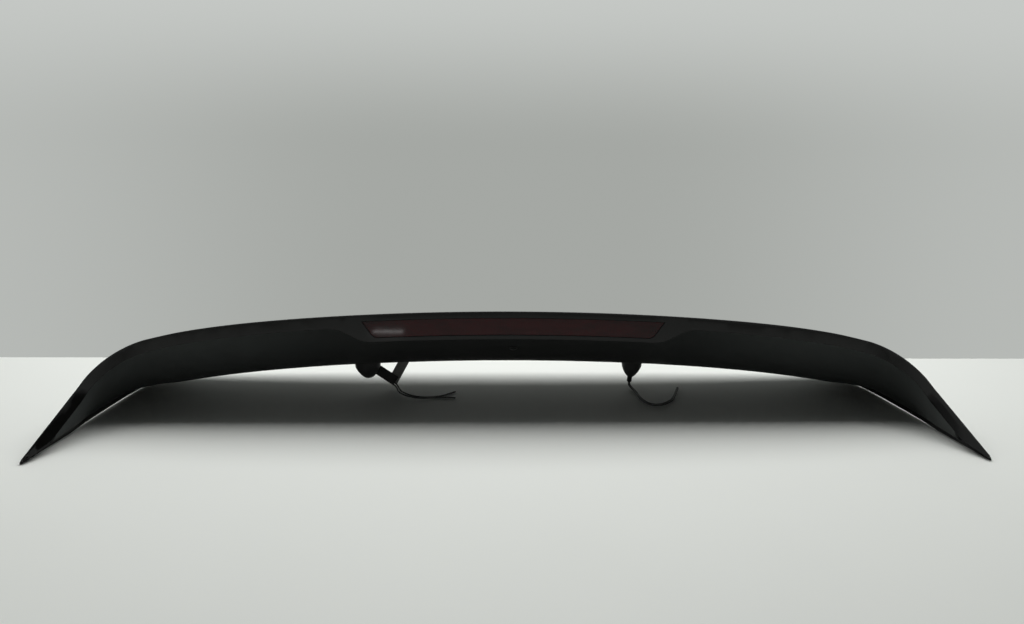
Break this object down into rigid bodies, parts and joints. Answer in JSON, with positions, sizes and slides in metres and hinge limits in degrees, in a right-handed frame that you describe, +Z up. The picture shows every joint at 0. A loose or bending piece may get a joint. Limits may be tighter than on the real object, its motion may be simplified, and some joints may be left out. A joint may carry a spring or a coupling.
{
  "type": "car rear spoiler",
  "caption": "Roof-edge rear spoiler for a car tailgate: bonded two-skin wing with side blades, high-level brake lamp, washer jet and cut leads under its base.",
  "frame": {"origin": "centre of the box round the spoiler without its loose cords, at the level of the surface it stands on", "axes": "+X to the right along the wing as seen from behind the car, +Y towards the front of the car, +Z up"},
  "size_m": [1.2098, 0.3933, 0.1595],
  "materials": {
    "gloss_black": "high gloss black paint",
    "matte_grey": "fine grained, matte",
    "lens_red": "dark red tinted, polished",
    "foam": "closed-cell foam",
    "housing_black": "moulded, satin",
    "board_green": "lacquered board",
    "led_clear": "cast resin",
    "reflector_bright": "metallised",
    "steel": "zinc plated",
    "plug_grey": "moulded",
    "lead_black": "sheathed lead",
    "jet_black": "moulded, satin",
    "hose_black": "smooth rubber hose",
    "grommet_rubber": "moulded rubber",
    "strap_tape": "woven harness tape",
    "wire_black": "insulated wire"
  },
  "bodies": {
    "root": {"upper_skin": "gloss_black", "lower_skin": "matte_grey", "brake_lamp_lens": "lens_red", "brake_lamp_gasket": "foam", "brake_lamp_housing": "housing_black", "brake_lamp_circuit_board": "board_green", "brake_lamp_leds": "led_clear", "brake_lamp_reflector": "reflector_bright", "brake_lamp_screws": "steel", "lamp_plug": "plug_grey", "lamp_lead": "lead_black", "washer_jet": "jet_black", "washer_hose": "hose_black", "lead_clips": "housing_black", "left_grommet": "grommet_rubber", "right_grommet": "grommet_rubber", "harness_strap": "strap_tape", "lamp_wire_one": "wire_black", "lamp_wire_two": "wire_black", "hose_coupling": "jet_black", "washer_hose_tail": "hose_black", "mounting_studs": "steel", "stud_seals": "foam", "front_edge_tape": "foam"}
  },
  "joints": []
}
